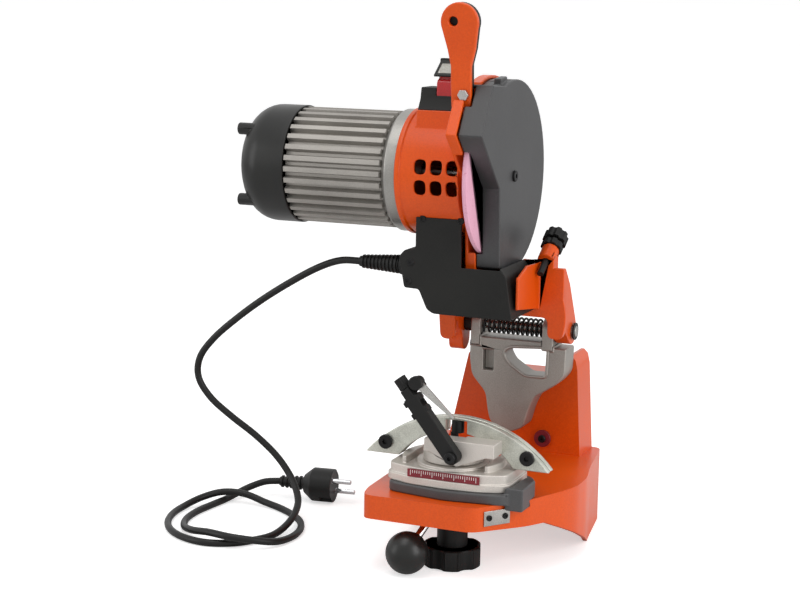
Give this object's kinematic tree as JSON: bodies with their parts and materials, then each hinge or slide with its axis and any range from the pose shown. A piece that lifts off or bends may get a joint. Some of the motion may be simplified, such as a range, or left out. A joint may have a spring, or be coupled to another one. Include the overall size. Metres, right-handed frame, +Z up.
{
  "type": "bench chainsaw chain sharpener",
  "caption": "Bench-mounted electric grinder for saw chain: a sprung motor head with guarded wheel plunges on a tilting arm over a swivelling chain vise on a cast base.",
  "frame": {"origin": "middle of the machine's bounding box on the bench, without the free cord", "axes": "+Z up, +X along the motor shaft towards the wheel cover, -Y towards the user at the chain vise"},
  "size_m": [0.3895, 0.2545, 0.4875],
  "materials": {
    "orange_paint": "semi-gloss orange paint",
    "red_plastic": "glossy red",
    "red_print": "satin dark red",
    "black_steel": "blackened",
    "bare_steel": "bare, turned",
    "rail_steel": "zinc plated, satin",
    "dark_grey_paint": "satin dark grey",
    "cast_aluminium": "blasted casting",
    "ring_grey": "satin",
    "chrome": "polished",
    "gloss_black": "glossy black",
    "black_plastic": "moulded",
    "charcoal_plastic": "fine-grained",
    "grey_cover": "moulded grey",
    "clear_window": "clear plastic pane",
    "laminations": "stacked sheet steel",
    "copper": "enamelled copper wire",
    "wheel_grit": "bonded abrasive",
    "black_rubber": "soft black"
  },
  "bodies": {
    "base": {"base_casting": "orange_paint", "index_disc": "red_print", "index_disc_screw": "black_steel", "edge_strip": "bare_steel", "strip_screws": "bare_steel", "vise_saddle": "dark_grey_paint", "vise_body": "cast_aluminium", "angle_scale": "red_print", "power_cord": "black_rubber", "cord_boot": "black_rubber", "plug_body": "black_rubber", "plug_pins": "chrome"},
    "vise": {"vise_block": "cast_aluminium", "vise_stud": "bare_steel", "front_rail": "rail_steel", "rail_screws": "black_steel", "stop_pivot_screw": "black_steel"},
    "handwheel": {"lock_handwheel": "black_plastic"},
    "lever": {"clamp_shaft": "black_steel", "clamp_lever": "chrome", "ball_knob": "gloss_black"},
    "jaw": {"rear_rail": "rail_steel"},
    "chain_stop": {"stop_arm": "black_plastic"},
    "stop_screw": {"stop_knob": "black_plastic"},
    "pawl": {"chain_pawl": "bare_steel", "pawl_knob": "black_plastic"},
    "arm": {"arm_support": "cast_aluminium", "tilt_stud": "bare_steel", "hinge_pin": "bare_steel", "pin_rings": "black_steel", "pin_spacer": "black_plastic", "return_spring": "black_steel"},
    "tilt_nut": {"tilt_knob": "black_plastic"},
    "head": {"head_casting": "orange_paint", "guard_cover": "grey_cover", "cover_screw": "black_steel", "electrics_box": "charcoal_plastic", "strain_relief": "black_rubber", "switch_housing": "charcoal_plastic", "handle": "orange_paint", "handle_back": "black_plastic", "handle_screw": "bare_steel", "motor_ring": "ring_grey", "motor_housing": "cast_aluminium", "stator": "laminations", "windings": "copper", "bearings": "bare_steel", "motor_cap": "gloss_black"},
    "depth_screw": {"depth_stop_screw": "bare_steel"},
    "depth_nut": {"depth_lock_nut": "black_plastic"},
    "rotor": {"rotor_core": "laminations", "motor_shaft": "bare_steel", "cooling_fan": "black_plastic", "inner_flange": "bare_steel", "outer_flange": "bare_steel", "shaft_nut": "bare_steel", "grinding_wheel": "wheel_grit"},
    "rocker": {"switch_rocker": "red_plastic"},
    "flap": {"switch_flap": "black_plastic", "flap_window": "clear_window"}
  },
  "joints": [
    {"name": "vise_turn", "type": "hinge", "parent": "base", "child": "vise", "pos_m": [0.07, -0.06475, 0.095], "axis": [0, 0, 1], "range_deg": [-35, 35]},
    {"name": "handwheel_turn", "type": "hinge", "parent": "vise", "child": "handwheel", "pos_m": [0.07, -0.06475, 0.025], "axis": [0, 0, 1], "continuous": true},
    {"name": "clamp_lever_swing", "type": "hinge", "parent": "vise", "child": "lever", "pos_m": [0.07, -0.06475, 0.05], "axis": [0, 0, 1], "range_deg": [0, 50]},
    {"name": "jaw_slide", "type": "slide", "parent": "vise", "child": "jaw", "axis": [0, -1, 0], "range_m": [0, 0.0014]},
    {"name": "chain_stop_lift", "type": "hinge", "parent": "vise", "child": "chain_stop", "pos_m": [0.081, -0.09755, 0.106], "axis": [0, -1, 0], "range_deg": [0, 25]},
    {"name": "stop_screw_turn", "type": "hinge", "parent": "chain_stop", "child": "stop_screw", "pos_m": [0.03431, -0.09755, 0.1647], "axis": [-0.6225, 0, 0.7826], "continuous": true},
    {"name": "pawl_lift", "type": "hinge", "parent": "chain_stop", "child": "pawl", "pos_m": [0.04744, -0.09575, 0.16747], "axis": [0, 1, 0], "range_deg": [-20, 5]},
    {"name": "arm_tilt", "type": "hinge", "parent": "base", "child": "arm", "pos_m": [0.075, 0.08725, 0.11], "axis": [0, 1, 0], "range_deg": [-35, 35], "deforming": ["power_cord"]},
    {"name": "tilt_nut_turn", "type": "hinge", "parent": "arm", "child": "tilt_nut", "pos_m": [0.075, 0.10325, 0.11], "axis": [0, 1, 0], "continuous": true},
    {"name": "head_plunge", "type": "hinge", "parent": "arm", "child": "head", "pos_m": [0.07, 0.07125, 0.19], "axis": [1, 0, 0], "range_deg": [0, 52], "stiffness_Nm_per_rad": 7.2, "springref_deg": -37.24},
    {"name": "depth_screw_turn", "type": "hinge", "parent": "head", "child": "depth_screw", "pos_m": [0.114, 0.04725, 0.262], "axis": [0, 0.848, 0.5299], "continuous": true},
    {"name": "depth_nut_turn", "type": "hinge", "parent": "head", "child": "depth_nut", "pos_m": [0.114, 0.04725, 0.262], "axis": [0, 0.848, 0.5299], "continuous": true},
    {"name": "rotor_spin", "type": "hinge", "parent": "head", "child": "rotor", "pos_m": [0.07, 0.01625, 0.3355], "axis": [1, 0, 0], "continuous": true},
    {"name": "switch_press", "type": "slide", "parent": "head", "child": "rocker", "axis": [0, 0, -1], "range_m": [0, 0.003], "stiffness_N_per_m": 400, "springref_m": -0.001},
    {"name": "flap_lift", "type": "hinge", "parent": "head", "child": "flap", "pos_m": [0.032, 0.00845, 0.434], "axis": [-1, 0, 0], "range_deg": [0, 70]}
  ],
  "couplings": [
    {"joint": "jaw_slide", "follows": "clamp_lever_swing", "m_per_rad": 0.0016}
  ]
}
